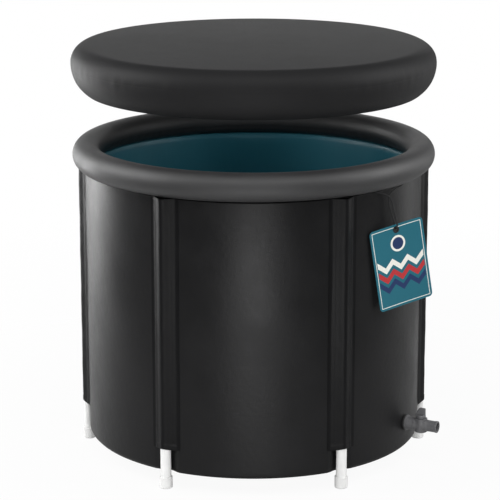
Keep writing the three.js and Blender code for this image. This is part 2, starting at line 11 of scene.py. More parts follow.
import bmesh
import bpy
import numpy as np
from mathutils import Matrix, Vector


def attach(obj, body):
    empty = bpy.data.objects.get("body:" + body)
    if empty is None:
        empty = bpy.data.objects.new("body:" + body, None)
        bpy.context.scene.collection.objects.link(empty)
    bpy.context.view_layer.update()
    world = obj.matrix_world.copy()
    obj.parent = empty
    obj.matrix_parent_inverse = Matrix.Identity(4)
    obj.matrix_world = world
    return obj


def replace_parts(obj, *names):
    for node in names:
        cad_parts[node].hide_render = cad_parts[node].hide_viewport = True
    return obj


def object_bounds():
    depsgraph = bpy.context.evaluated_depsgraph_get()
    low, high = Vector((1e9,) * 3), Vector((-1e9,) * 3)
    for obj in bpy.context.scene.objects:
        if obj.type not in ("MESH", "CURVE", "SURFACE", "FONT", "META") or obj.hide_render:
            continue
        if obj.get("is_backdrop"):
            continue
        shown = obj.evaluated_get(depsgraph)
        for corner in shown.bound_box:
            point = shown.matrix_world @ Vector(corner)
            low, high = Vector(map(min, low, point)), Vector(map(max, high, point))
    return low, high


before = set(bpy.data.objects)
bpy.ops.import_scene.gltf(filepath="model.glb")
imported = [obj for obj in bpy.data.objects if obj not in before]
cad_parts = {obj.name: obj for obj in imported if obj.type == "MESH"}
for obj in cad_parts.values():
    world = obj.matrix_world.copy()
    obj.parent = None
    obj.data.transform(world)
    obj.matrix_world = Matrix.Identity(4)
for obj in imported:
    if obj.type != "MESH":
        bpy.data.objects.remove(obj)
cad_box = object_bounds()
scene = bpy.context.scene
scene.view_settings.view_transform = "Standard"
MM = 0.001

# %% [markdown]
# ## The camera
# The picture was taken from in front and a little above, with a long lens that hardly narrows the tub's far
# side. The camera stands five metres away, and a small sideways shift puts the tub's axis where the picture
# has it.

# %% Photo camera
camera_data = bpy.data.cameras.new("photo_camera")
camera_data.sensor_width = 36
camera_data.lens = 154.44
camera_data.shift_x = -0.0072
camera = bpy.data.objects.new("photo_camera", camera_data)
camera.location = (0, -5.0, 1.7559)
camera.rotation_euler = (math.pi / 2 - 0.2509, 0, 0)
scene.collection.objects.link(camera)
scene.camera = camera
print("lens", camera_data.lens, "mm")

# %% [markdown]
# ## From a formula to a mesh
# Every new piece is a grid of points that a formula gives for two parameters, such as the angle round the
# tub and the height. A modelling tool could push vertices by hand, but a formula keeps the piece exact and
# easy to change. The helpers below join a grid's points with quads, turn the faces outwards and weld the
# poles.

# %% Grids and meshes
def surface(points, loop=False, uv=None):
    """Quads over points[row, column], each joining (i, j), (i, j+1), (i+1, j+1) and (i+1, j). The last column
    joins the first, and in a loop the last row does too. Without a uv grid, the map is the mean distance
    walked along columns and rows, in metres. Six times the enclosed volume is the sum of
    a . (b x c) + a . (c x d), and its sign turns the faces out."""
    rows, columns = points.shape[:2]
    whole = np.concatenate([points, points[:1]]) if loop else points
    whole = np.concatenate([whole, whole[:, :1]], axis=1)
    i, j = np.indices((whole.shape[0] - 1, columns))
    corners = [(i, j), (i, j + 1), (i + 1, j + 1), (i + 1, j)]
    quads = np.stack([(a % rows) * columns + b % columns for a, b in corners], -1).reshape(-1, 4)
    if uv is None:
        down = np.r_[0, np.cumsum(np.linalg.norm(np.diff(whole, axis=0), axis=2).mean(1))]
        along = np.r_[0, np.cumsum(np.linalg.norm(np.diff(whole, axis=1), axis=2).mean(0))]
        uv = np.stack(np.meshgrid(along, down), -1)
    spread = np.stack([uv[a, b] for a, b in corners], 2).reshape(-1, 4, 2)
    flat = points.reshape(-1, 3)
    a, b, c, d = (flat[quads[:, k]] for k in range(4))
    if np.sum(a * np.cross(b, c)) + np.sum(a * np.cross(c, d)) < 0:
        quads, spread = quads[:, ::-1], spread[:, ::-1]
    return flat, quads, spread


def smoothed(mesh):
    """The mesh with smooth shading, apart from edges of over 40 degrees."""
    mesh.shade_smooth()
    mesh.set_sharp_from_angle(angle=math.radians(40))
    return mesh


def mesh_of(name, sheet):
    """A smooth mesh of a surface, with its poles welded."""
    points, quads, spread = sheet
    mesh = bpy.data.meshes.new(name)
    mesh.vertices.add(len(points))
    mesh.vertices.foreach_set("co", points.astype(np.float32).ravel())
    mesh.loops.add(quads.size)
    mesh.loops.foreach_set("vertex_index", quads.astype(np.int32).ravel())
    mesh.polygons.add(len(quads))
    mesh.polygons.foreach_set("loop_start", np.arange(0, quads.size, 4, dtype=np.int32))
    mesh.update(calc_edges=True)
    mesh.uv_layers.new(name="UVMap").data.foreach_set("uv", spread.astype(np.float32).ravel())
    welded = bmesh.new()
    welded.from_mesh(mesh)
    bmesh.ops.remove_doubles(welded, verts=welded.verts, dist=1e-6)
    welded.to_mesh(mesh)
    welded.free()
    return smoothed(mesh)


def carved(name, base, added=(), removed=()):
    """A mesh of the base surface joined with some closed surfaces and cut by others, as solids."""
    steps = [("UNION", s) for s in added] + [("DIFFERENCE", s) for s in removed]
    made = [bpy.data.objects.new(name, mesh_of(name, s)) for s in (base, *(s for _, s in steps))]
    for o, (operation, _) in zip(made[1:], steps):
        step = made[0].modifiers.new(operation, "BOOLEAN")
        step.operation, step.object, step.solver = operation, o, "MANIFOLD"
    for o in made:
        scene.collection.objects.link(o)
    depsgraph = bpy.context.evaluated_depsgraph_get()
    mesh = bpy.data.meshes.new_from_object(made[0].evaluated_get(depsgraph))
    for o in made:
        bpy.data.meshes.remove(o.data)
    mesh.name = name
    return smoothed(mesh)


def dress(mesh, finish, body, stands_for):
    """A piece of the object: the mesh with its finish, riding on a body in place of a CAD node."""
    made = bpy.data.objects.new(mesh.name, mesh)
    scene.collection.objects.link(made)
    mesh.materials.clear()
    mesh.materials.append(finish)
    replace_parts(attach(made, body), stands_for)
    print(f"{made.name}: {len(mesh.polygons)} faces for {stands_for}")
    return made


print("mesh helpers ready")

# %% Curves, turned profiles and frames
def ramp(value, start, end):
    """0 at start, 1 at end, straight between them and level beyond. The end may lie below the start."""
    return np.clip((value - start) / (end - start), 0, 1)


def bell(distance, width):
    """exp(-(distance / width)^2): 1 in the middle, and nearly 0 two widths away."""
    return np.exp(-((distance / width) ** 2))


def full_turn(steps):
    """A row of angles all the way round."""
    return np.linspace(0, 2 * np.pi, steps, endpoint=False)[None, :]


def rounded(corners, radius=0.6, steps=5):
    """A profile whose inner corners are rounded: each is a quadratic Bezier from a point one radius before
    the corner to one a radius after it, or 0.42 of a short side, with a support point a little further out
    on both sides."""
    p = np.asarray(corners, float)
    back, ahead = p[:-2] - p[1:-1], p[2:] - p[1:-1]
    lengths = np.linalg.norm(back, axis=1), np.linalg.norm(ahead, axis=1)
    reach = np.minimum(radius, 0.42 * np.minimum(*lengths))[:, None]
    before, after = (reach * way / size[:, None] for way, size in zip((back, ahead), lengths))
    t = np.linspace(0, 1, steps)[None, :, None]
    arcs = (1 - t) ** 2 * before[:, None] + t**2 * after[:, None]
    bends = np.concatenate([1.15 * before[:, None], arcs, 1.15 * after[:, None]], axis=1)
    return np.vstack([p[:1], (p[1:-1, None] + bends).reshape(-1, 2), p[-1:]])


def ring_section(inner, outer, start, end, radius=0.6):
    """A rectangle of (radius, height), rounded at its corners, as a loop from the middle of a side."""
    middle = [inner, (start + end) / 2]
    return rounded([middle, [inner, start], [outer, start], [outer, end], [inner, end], middle], radius)[:-1]


def rod(radius, start, end, far=None):
    """The profile of a rod, or of a cone if its far end has another radius."""
    return [[0, start], [radius, start], [far or radius, end], [0, end]]


def turned(profile, sides=96, ribs=None):
    """A profile of (radius, height) turned about Z: (r cos a, r sin a, h). ribs(r, a, h) is added to r."""
    turn = full_turn(sides)
    r, h = np.asarray(profile, float).T[:, :, None]
    r = r + (ribs(r, turn, h) if ribs else 0)
    return np.stack(np.broadcast_arrays(r * np.cos(turn), r * np.sin(turn), h), -1)


def outward(degrees):
    """Rows: along the wall, up, and out from the axis, at an angle from the front (-Y) towards +X."""
    turn = math.radians(degrees)
    return np.array([[math.cos(turn), math.sin(turn), 0], [0, 0, 1], [math.sin(turn), -math.cos(turn), 0]])


def placed(points, axes, origin=(0, 0, 0)):
    """Points in millimetres on three axes from an origin, in metres in the object's frame."""
    return MM * (points @ np.asarray(axes) + np.asarray(origin))


def lathe(profile, axes, origin, sides=96, ribs=None):
    """A profile turned about the third axis. One that starts on the axis ends there, and others are loops."""
    return surface(placed(turned(profile, sides, ribs), axes, origin), loop=profile[0][0] > 0)


def spot(degrees, out, height):
    """Points at an angle from the front, a distance from the axis and a height, both in millimetres:
    (out sin a, -out cos a, height)."""
    turn = np.radians(degrees)
    return MM * np.stack(np.broadcast_arrays(out * np.sin(turn), -out * np.cos(turn), height), -1)


def two_faced(face, cloth, sides):
    """Angles, radii and heights of a profile face(inset) that goes out and comes back a cloth further in."""
    profile = np.vstack([face(0.0), face(cloth)[::-1]])
    return full_turn(sides), *profile.T[:, :, None]


def shell(outer, inner):
    """Cloth between two faces: round the section from the outer to the inner face, closed at both ends at
    mid cloth."""
    both = np.concatenate([outer, inner[:, ::-1]], axis=1)
    middle = (both + np.concatenate([inner, outer[:, ::-1]], axis=1)) / 2
    return surface(np.concatenate([middle[:1], both, middle[-1:]]))


def capped(rings, first, last):
    """Rings of points with one more point at each end, so that the surface closes."""
    ends = [np.broadcast_to(p, rings[:1].shape) for p in (first, last)]
    return np.concatenate([ends[0], rings, ends[1]])


print("shape helpers ready")

# %% [markdown]
# ## Writing shaders as expressions
# A finish is a small graph of nodes. Wiring it by hand hides the sum behind the boxes, so one class wraps an
# output socket and overloads the operators: writing 1 - mask adds the Math node. Every other node comes from
# the finish's single node method.

# %% Finish and Term
class Term:
    """One output socket of a finish. Sums with terms and numbers add Math nodes."""

    def __init__(self, finish, socket):
        self.finish, self.socket = finish, socket

    def __add__(self, other):
        return self.finish.math("ADD", self, other)

    def __sub__(self, other):
        return self.finish.math("SUBTRACT", self, other)

    def __rsub__(self, other):
        return self.finish.math("SUBTRACT", other, self)

    def __mul__(self, other):
        return self.finish.math("MULTIPLY", self, other)

    __radd__, __rmul__ = __add__, __mul__

    def __abs__(self):
        return self.finish.math("ABSOLUTE", self)

    def sine(self):
        return self.finish.math("SINE", self)

    def rise(self, low, high, to=(0.0, 1.0)):
        """A smooth step from to[0] at low to to[1] at high."""
        ends = {"Value": self, "From Min": low, "From Max": high, "To Min": to[0], "To Max": to[1]}
        return self.finish.node("ShaderNodeMapRange", {"interpolation_type": "SMOOTHSTEP"}, ends)

    def within(self, low, high, soft):
        """1 where the value lies between low and high, fading over soft at both ends."""
        return self.rise(low - soft, low) * (1 - self.rise(high, high + soft))


class Finish:
    """The node graph of a material or world."""

    def __init__(self, owner):
        owner.use_nodes = True
        self.owner, self.tree = owner, owner.node_tree
        self.tree.nodes.clear()

    def node(self, kind, settings=None, inputs=None, output=0):
        """Adds a node: its settings first, then the values or links of its sockets. Returns one output."""
        made = self.tree.nodes.new(kind)
        for name, value in (settings or {}).items():
            setattr(made, name, value)
        for key, value in (inputs or {}).items():
            if isinstance(value, Term):
                self.tree.links.new(value.socket, made.inputs[key])
            else:
                made.inputs[key].default_value = value
        return Term(self, made.outputs[output]) if made.outputs else None

    def math(self, operation, *values):
        """A sum or function of terms and numbers."""
        return self.node("ShaderNodeMath", {"operation": operation}, dict(enumerate(values)))

    def place(self, output="Object"):
        """Where a point lies on the object, in metres, or on its map."""
        return self.node("ShaderNodeTexCoord", output=output)

    def map(self):
        """The two terms (u, v) of the surface's map."""
        parts = self.node("ShaderNodeSeparateXYZ", None, {0: self.place("UV")})
        return parts, Term(self, parts.socket.node.outputs[1])

    def stretched(self, where, share):
        """A place whose height is scaled by a share, which draws a pattern out along Z."""
        return self.node("ShaderNodeMapping", None, {"Vector": where, "Scale": (1.0, 1.0, share)})

    def noise(self, where, size, detail=3.0):
        """Cloudy noise with patches about size metres across."""
        return self.node("ShaderNodeTexNoise", None, {"Vector": where, "Scale": 1 / size, "Detail": detail})

    def cells(self, where, size, feature="SMOOTH_F1"):
        """Rounded cells about size metres across: 0 at each middle, rising to the borders."""
        return self.node("ShaderNodeTexVoronoi", {"feature": feature}, {"Vector": where, "Scale": 1 / size})

    def mixed(self, factor, first, second):
        """A colour between two colours."""
        settings = {"data_type": "RGBA", "clamp_factor": True}
        return self.node("ShaderNodeMix", settings, {0: factor, 6: first, 7: second}, 2)

    def relief(self, height, depth, over=None):
        """A bump of a height that runs from 0 to 1, depth metres deep, over another normal."""
        inputs = {"Height": height, "Distance": depth, "Strength": 1.0}
        return self.node("ShaderNodeBump", None, inputs | ({"Normal": over} if over else {}))

    def shade(self, **sockets):
        """The surface shader, with sockets written as base_color, roughness and so on."""
        names = {"specular_ior_level": "Specular IOR Level"}
        inputs = {names.get(k, k.replace("_", " ").title()): v for k, v in sockets.items()}
        shader = self.node("ShaderNodeBsdfPrincipled", None, inputs)
        self.node("ShaderNodeOutputMaterial", None, {"Surface": shader})
        return self.owner


def tone(red, green, blue):
    """A colour in linear light from its values on a screen, 0 to 255."""
    s = np.array([red, green, blue]) / 255
    return (*np.where(s <= 0.04045, s / 12.92, ((s + 0.055) / 1.055) ** 2.4), 1.0)


def new_finish(name):
    return Finish(bpy.data.materials.new(name))


print("a screen grey of 60 is", round(float(tone(60, 60, 60)[0]), 4), "in linear light")

# %% [markdown]
# ## Finishes
# The fabric is a polyester weave coated with soft plastic: nearly black, with a fine pebbled grain, a weave
# that shows through as a faint grid, and patches a little duller where hands and water have been. The
# inflated skins are the same stuff with a finer weave. The hard parts are moulded, so they have a fine even
# roughness instead.

# %% Coated fabric and inflated skin
def coated_fabric(name, dark, pale, grain, weave, dull, sheen, wear=0.12, seam=None):
    """Grain cells plus a woven grid from the map's metres, sin(u) sin(v). Patches of noise vary tone and
    gloss. seam gives the map's u of an upright weld 26 mm wide, pressed with a fine cross pattern."""
    f = new_finish(name)
    where, (u, v) = f.place(), f.map()
    patches, smears = f.noise(where, 0.22), f.noise(where, 0.045, 5.0)
    thread = 2 * math.pi / weave
    skin = f.relief(f.cells(where, grain), 0.00016)
    skin = f.relief((u * thread).sine() * (v * thread).sine() * 0.5 + 0.5, 0.00006, skin)
    skin = f.relief(f.noise(where, 0.012), 0.00035, skin)
    worn = (patches * 0.7 + smears * 0.3).rise(0.35, 0.7)
    base = f.mixed(worn, dark, pale)
    if seam is not None:
        weld = abs(u - seam).within(-1.0, 0.012, 0.0015)
        press = ((u + v) * 1600.0).sine() * ((u - v) * 1600.0).sine()
        skin = f.relief(weld * (press * 0.18 + 0.8), 0.0011, skin)
    return f.shade(base_color=base, roughness=dull + wear * worn, normal=skin, specular_ior_level=sheen)


WALL_RADIUS = 400.0
HALF_WAY_ROUND = math.pi * WALL_RADIUS * MM
COARSE, FINE, THIN = (0.0016, 0.0024), (0.0013, 0.0017), (0.0010, 0.0012)
BLACK_FABRIC = coated_fabric("black_coated_fabric", tone(15, 15, 16), tone(20, 20, 21), *COARSE, 0.38, 0.10)
WALL_FABRIC = coated_fabric(
    "black_wall_fabric", tone(16, 16, 17), tone(21, 21, 22), *COARSE, 0.34, 0.21, seam=HALF_WAY_ROUND,
)
RING_SKIN = coated_fabric("ring_skin", tone(38, 38, 39), tone(44, 44, 45), *FINE, 0.50, 0.62)
LID_FABRIC = coated_fabric("lid_skin", tone(23, 23, 24), tone(26, 26, 27), *FINE, 0.58, 0.2, wear=0.03)
TIE_FABRIC = coated_fabric("tie_fabric", tone(40, 40, 41), tone(52, 52, 53), *THIN, 0.66, 0.3)
print("fabrics", [m.name for m in (BLACK_FABRIC, WALL_FABRIC, RING_SKIN, LID_FABRIC, TIE_FABRIC)])

# %% Liner and foam
def liner_film():
    """A smooth film that has crept into small wrinkles: stretched noise under a fine grain."""
    f = new_finish("teal_liner")
    where = f.place()
    creep, patches = f.noise(f.stretched(where, 0.25), 0.03, 4.0), f.noise(where, 0.15)
    skin = f.relief(f.cells(where, 0.0014), 0.00008, f.relief(creep, 0.0009))
    base = f.mixed(patches, tone(52, 124, 142), tone(62, 136, 154))
    gloss = patches.rise(0.3, 0.7, (0.34, 0.46))
    return f.shade(base_color=base, roughness=gloss, normal=skin, specular_ior_level=0.4)


def closed_foam():
    """Closed-cell foam: small bubbles, with painted shade in the colour that darkens towards the borders
    between them.
    """
    f = new_finish("insulating_foam")
    bubbles = f.cells(f.place(), 0.0018, "F1")
    # Painted shade: the colour darkens from each bubble's middle out to the borders between bubbles.
    base = f.mixed(bubbles, tone(222, 222, 214), tone(186, 186, 178))
    return f.shade(base_color=base, roughness=0.9, normal=f.relief(bubbles, 0.0006))


LINER_FILM, FOAM = liner_film(), closed_foam()
print("inner finishes", LINER_FILM.name, FOAM.name)

# %% Moulded plastics and rubber
def moulded(name, dark, pale, spark, dull, depth):
    """Moulded plastic: an even spark-eroded roughness, faint flow marks along Z and rubbed patches."""
    f = new_finish(name)
    where = f.place()
    flow, rubbed = f.noise(f.stretched(where, 0.12), 0.008, 4.0), f.noise(where, 0.02, 4.0)
    base = f.mixed((flow * 0.5 + rubbed * 0.5).rise(0.35, 0.68), dark, pale)
    skin = f.relief(f.noise(where, spark, 2.0), depth)
    return f.shade(base_color=base, roughness=rubbed.rise(0.35, 0.7, (dull, dull + 0.14)), normal=skin)


WHITE_PIPE = moulded("white_pipe", tone(232, 232, 231), tone(240, 240, 239), 0.003, 0.28, 0.00010)
WHITE_FOOT = moulded("white_foot", tone(230, 230, 229), tone(238, 238, 237), 0.0012, 0.40, 0.00014)
CHARCOAL = moulded("charcoal_plastic", tone(84, 84, 86), tone(98, 98, 100), 0.0007, 0.36, 0.00010)
RUBBER = moulded("black_rubber", tone(20, 20, 20), tone(32, 32, 32), 0.0010, 0.66, 0.00016)
print("moulded finishes", [m.name for m in (WHITE_PIPE, WHITE_FOOT, CHARCOAL, RUBBER)])

# %% Card, eyelet and cord
CARD_WIDTH, CARD_HEIGHT = 140.0, 194.0
PALE_INK, RED_INK, NAVY_INK = tone(232, 232, 224), tone(178, 48, 52), tone(30, 50, 92)


def printed_card(name, printed):
    """Coated card. The printed side has a plain design in flat inks: an inset frame, a disc and three
    zigzags. A zigzag is a band of the height less a triangle wave of the width, both in millimetres from the
    card's middle."""
    f = new_finish(name)
    where, (u, v) = f.place(), f.map()
    fibres = f.noise(where, 0.0011, 4.0)
    ink = f.mixed(fibres, tone(24, 92, 108), tone(32, 104, 120))
    if printed:
        across, up = (u - 0.5) * CARD_WIDTH, (v - 0.5) * CARD_HEIGHT
        edge = f.math("MINIMUM", CARD_WIDTH / 2 - abs(across), CARD_HEIGHT / 2 - abs(up))
        disc = f.math("SQRT", across * across + (up - 52.0) * (up - 52.0))
        peaks = up - f.math("PINGPONG", abs(across), 20.0) * 0.9
        ink = f.mixed(edge.within(5.6, 6.8, 0.3), ink, PALE_INK)
        ink = f.mixed(disc.within(-1.0, 19.0, 0.4), ink, PALE_INK)
        ink = f.mixed(disc.within(-1.0, 14.0, 0.4), ink, NAVY_INK)
        for low, colour in ((-12.0, PALE_INK), (-36.0, RED_INK), (-60.0, NAVY_INK)):
            ink = f.mixed(peaks.within(low, low + 14.0, 0.4) * edge.rise(9.0, 9.4), ink, colour)
    gloss, skin = fibres.rise(0.3, 0.7, (0.38, 0.5)), f.relief(fibres, 0.00008)
    return f.shade(base_color=ink, roughness=gloss, normal=skin, specular_ior_level=0.4)


def twisted_yarn():
    """Plies wound round the cord: ridges of sin(1900 v + 2000 u) on its map, with fine fibres across them.
    The colour is paler on the ridges and darker in the grooves, which is painted shade.
    """
    f = new_finish("black_cord")
    where, (u, v) = f.place(), f.map()
    ply_ridges_and_shade = (v * 1900.0 + u * 2000.0).sine() * 0.5 + 0.5
    fibres = f.noise(where, 0.0004)
    # Painted shade: the ply ridges also darken the colour in the grooves between plies.
    base = f.mixed(ply_ridges_and_shade * 0.6 + fibres * 0.4, tone(10, 10, 11), tone(34, 34, 36))
    return f.shade(base_color=base, roughness=0.8, normal=f.relief(fibres, 0.00012, f.relief(ply_ridges_and_shade, 0.0003)))


CARD_FRONT, CARD_BACK = printed_card("printed_card", True), printed_card("plain_card", False)
EYELET_PAINT = moulded("black_eyelet", tone(22, 22, 23), tone(34, 34, 35), 0.0008, 0.32, 0.00005)
CORD_YARN = twisted_yarn()
print("tag finishes", [m.name for m in (CARD_FRONT, CARD_BACK, EYELET_PAINT, CORD_YARN)])

# %% [markdown]
# ## The hang tag's cord
# A thin black cord comes out of the crease under the ring, crosses its own other end, passes through the
# card's eyelet and goes back to the crease. Its route is a list of points along the wall, out from the axis
# and up, joined by a centripetal Catmull-Rom curve. They are the CAD model's, apart from two near the right
# end: these lie up to a millimetre nearer the wall, so that the cord clears the ring when the tag swings. A
# curve object would do, but a swept grid also gives the plies their map.

# %% Cord route and swept tube
HANG_ANGLE = 50
HANG = outward(HANG_ANGLE)
CORD_AXES = HANG[[0, 2, 1]]
CORD_RADIUS = 1.5
CORD_ROUTE = np.array([
    [-52, 400.6, 684.6], [-45, 401.4, 683.2], [-36, 402.8, 680.6], [-26, 405.4, 677], [-17, 408.6, 672.6],
    [-10, 411.6, 666], [-6, 414.4, 655], [-4.4, 418, 640], [-4.4, 422.4, 625], [-5.4, 427.2, 612],
    [-5.7, 429.6, 603], [-4.9, 428.2, 597.6], [-3.3, 424, 595.4], [-1.7, 419.8, 597.6], [-0.9, 418.4, 603],
    [-3, 417.4, 613], [-7, 415, 627], [-10.4, 411.6, 643], [-11, 408.2, 658], [-7, 406.4, 668],
    [2, 405.4, 674.4], [14, 404.4, 678.6], [26, 403, 681], [40, 401.5, 682.4], [52, 400.6, 684.6],
])


def smooth_route(points, steps=24):
    """Centripetal Catmull-Rom: between two points a cubic Hermite curve, with spans of the root of their
    distance and at each point the tangent rate before + rate after - rate across both."""
    p = np.vstack([2 * points[0] - points[1], points, 2 * points[-1] - points[-2]])
    span = np.linalg.norm(np.diff(p, axis=0), axis=1, keepdims=True) ** 0.5
    rate = np.diff(p, axis=0) / span
    tangent = rate[:-1] + rate[1:] - (p[2:] - p[:-2]) / (span[:-1] + span[1:])
    leave, arrive = tangent[:-1] * span[1:-1], tangent[1:] * span[1:-1]
    t = np.linspace(0, 1, steps, endpoint=False)[None, :, None]
    curve = (
        (2 * t**3 - 3 * t**2 + 1) * p[1:-2, None] + (t**3 - 2 * t**2 + t) * leave[:, None]
        + (3 * t**2 - 2 * t**3) * p[2:-1, None] + (t**3 - t**2) * arrive[:, None]
    )
    return np.vstack([curve.reshape(-1, 3), points[-1:]])


def swept(path, radius, sides, plies):
    """A round section carried along a path, on two directions square to it, and closed by a point at both
    ends. The first is square to a fixed direction that the path never takes. The radius swells by a share
    plies with cos 3 (around - 0.55 per mm along), and thins out over the last 12 mm."""
    ahead = np.gradient(path, axis=0)
    ahead /= np.linalg.norm(ahead, axis=1, keepdims=True)
    side = np.cross(ahead, np.array([0.62, -0.48, 0.62]))
    side /= np.linalg.norm(side, axis=1, keepdims=True)
    turn = full_turn(sides)[..., None]
    along = np.r_[0, np.cumsum(np.linalg.norm(np.diff(path, axis=0), axis=1))][:, None, None]
    thin = np.clip(0.35 + np.minimum(along, along[-1] - along) / 12, 0, 1)
    r = radius * thin * (1 - plies + plies * np.cos(3 * (turn - 0.55 * along)))
    across = np.cos(turn) * side[:, None] + np.sin(turn) * np.cross(ahead, side)[:, None]
    return capped(path[:, None] + r * across, path[0], path[-1])


cord_path = smooth_route(CORD_ROUTE)
cord_tube = surface(placed(swept(cord_path, CORD_RADIUS, 18, 0.05), CORD_AXES))
cord = dress(mesh_of("hang_cord", cord_tube), CORD_YARN, "tag", "tag_cord")

# %% [markdown]
# ## The card and its eyelet
# The tag is a stiff card with rounded corners, hung by a black eyelet, and turned towards the front. A flat
# outline could be filled and extruded, but rings of points from the hole out to the edge also let the card
# bow a little.

# %% Card and eyelet
CARD_THICK, CARD_CORNER, CARD_BOW = 1.2, 9.0, 1.6
CARD_HOLE, CARD_HOLE_DEPTH = 6.0, 12.0
CARD_FACES, CARD_LEAN = 27, 10
off_wall, lean = math.radians(HANG_ANGLE - CARD_FACES), math.radians(CARD_LEAN)
sideways = np.array([math.cos(off_wall), 0, math.sin(off_wall)])
facing = np.array([-math.sin(off_wall), 0, math.cos(off_wall)])
card_up = math.cos(lean) * np.array([0, 1, 0]) - math.sin(lean) * sideways
tag_axes = np.array([np.cross(card_up, facing), card_up, facing]) @ HANG
tag_origin = np.array([-3.3, 593, 424]) @ HANG


def card_grid(samples=360, rings=28):
    """From the hole's rim out to a rounded rectangle along straight lines from the hole's middle, on the
    front, then back on the other face. The card bows with the square of its share of the half width."""
    half, top = CARD_WIDTH / 2 - CARD_CORNER, CARD_HOLE_DEPTH - CARD_CORNER
    bottom = CARD_HOLE_DEPTH - CARD_HEIGHT + CARD_CORNER
    middles = np.array([[half, top], [-half, top], [-half, bottom], [half, bottom]])[:, None]
    arc = np.radians(np.arange(4)[:, None] * 90 + np.linspace(0, 90, 12))
    corners = (middles + CARD_CORNER * np.stack([np.cos(arc), np.sin(arc)], -1)).reshape(-1, 2)
    outline = np.vstack([corners, corners[:1]])
    walked = np.r_[0, np.cumsum(np.linalg.norm(np.diff(outline, axis=0), axis=1))]
    at = np.linspace(0, walked[-1], samples, endpoint=False)
    edge = np.stack([np.interp(at, walked, outline[:, k]) for k in (0, 1)], -1)
    rim = CARD_HOLE * edge / np.linalg.norm(edge, axis=1, keepdims=True)
    out = np.linspace(0, 1, rings)[:, None, None] ** 1.3
    flat = rim + out * (edge - rim)
    bow = CARD_BOW * (flat[..., :1] / (CARD_WIDTH / 2)) ** 2
    front, back = (np.concatenate([flat, bow + side * CARD_THICK / 2], -1) for side in (1, -1))
    both = np.concatenate([front, back[::-1]])
    uv = both[..., :2] / (CARD_WIDTH, CARD_HEIGHT) + (0.5, 1 - CARD_HOLE_DEPTH / CARD_HEIGHT)
    return both, np.pad(uv, ((0, 1), (0, 1), (0, 0)), mode="wrap")


card_points, card_map = card_grid()
card_sheet = surface(placed(card_points, tag_axes, tag_origin), True, card_map)
card = dress(mesh_of("hang_card", card_sheet), CARD_FRONT, "tag", "tag_card")
card.data.materials.append(CARD_BACK)
normals = np.empty(3 * len(card.data.polygons), np.float32)
card.data.polygons.foreach_get("normal", normals)
behind = normals.reshape(-1, 3) @ tag_axes[2] < 0.5
card.data.polygons.foreach_set("material_index", behind.astype(np.int32))

EYELET_PROFILE = rounded([
    [5, 0], [5, -1.4], [8, -1.4], [8, -0.75], [5.7, -0.75], [5.7, 0.75], [8, 0.75], [8, 1.4],
    [5, 1.4], [5, 0],
], 0.5)[:-1]
eyelet_ring = lathe(EYELET_PROFILE, tag_axes, tag_origin, 64)
eyelet = dress(mesh_of("hang_eyelet", eyelet_ring), EYELET_PAINT, "tag", "tag_eyelet")
print("card hangs at", np.round(MM * tag_origin, 4))

# %% [markdown]
# ## The inflated ring
# The ring is a tube of coated fabric blown up tight, so it is a torus. What makes it look inflated are small
# things: a weld along its inner side that the air pulls into puckers, and a tube that isn't quite the same
# all the way round. A cloth simulation with pressure would swell it, but a tight tube is so near the formula
# that the formula is enough.

# %% Ring
RING_RADIUS, RING_TUBE, RING_HEIGHT = 397.0, 33.0, 718.0
RING_WELD = math.radians(205)


def gathers(turn, waves=(53, 71, 97, 131)):
    """Uneven gathers round a weld, about 0 to 1: a half plus 0.8 of the mean of a few cosines whose wave
    counts have no common rhythm."""
    phases = (0.3, 1.9, 4.1, 5.2)
    return 0.5 + 0.8 * sum(np.cos(n * turn + p) for n, p in zip(waves, phases)) / len(waves)


def ring_tube(around=540, section=96):
    """Torus: out = R + r cos s, height = H + r sin s. r falls by up to 0.8 mm at the gathers by the weld, by
    0.9 mm in the weld itself, and by up to 0.5 mm in slow swells round the ring."""
    a, s = full_turn(around), full_turn(section).T
    from_weld = np.abs((s - RING_WELD + np.pi) % (2 * np.pi) - np.pi) * RING_TUBE
    pulled = 0.8 * gathers(a) * bell(from_weld, 9) + 0.9 * bell(from_weld, 2.2)
    swell = 0.125 * (2 + np.sin(3 * a + 0.5) + np.sin(5 * a + 2.0) * np.cos(s))
    r = RING_TUBE - pulled - swell
    return surface(spot(np.degrees(a), RING_RADIUS + r * np.cos(s), RING_HEIGHT + r * np.sin(s)), True)


ring = dress(mesh_of("ring_tube", ring_tube()), RING_SKIN, "tub", "inflatable_ring")

# %% [markdown]
# ## The lid
# The lid is blown up too: two discs of fabric welded at the side, with bands inside that hold the top nearly
# flat. Its shoulder is a quarter circle, and below the weld the side draws in to the underside. Each skin is
# a profile turned about the axis, as cloth with a thickness, and the gathers by the weld change the radius
# with the angle.

# %% Lid skins and tie webs
LID_BOTTOM, LID_RADIUS, LID_SEAM, LID_CLOTH = 868.0, 430.0, 66.0, 1.5
LID_SHOULDER, LID_SHOULDER_RADIUS, LID_SHOULDER_HEIGHT = 42.0, 388.0, 68.0
LID_CROWN, LID_UNDERSIDE = 7.5, 396.0
WEB_CLOTH, WEB_GAP = 0.8, 5


def lid_top_height(radius):
    """Height of the lid's top: a low crown that falls with the square of the radius."""
    return LID_SHOULDER_HEIGHT + LID_SHOULDER + LID_CROWN * (1 - (radius / LID_SHOULDER_RADIUS) ** 2)


def lid_upper(inset):
    """Profile from the middle out: the crown, a quarter circle for the shoulder, then a drop to the weld."""
    flat = np.linspace(0, LID_SHOULDER_RADIUS, 30)[:-1]
    turn = np.linspace(0, np.pi / 2, 24)
    quarter = (LID_SHOULDER - inset) * np.stack([np.sin(turn), np.cos(turn)], -1)
    crown = np.stack([flat, lid_top_height(flat) - inset], -1)
    weld = [[LID_RADIUS - inset - 0.05, LID_SEAM + 1.0], [LID_RADIUS - inset - 0.15, LID_SEAM + 0.05]]
    return np.vstack([crown, quarter + (LID_SHOULDER_RADIUS, LID_SHOULDER_HEIGHT), weld])


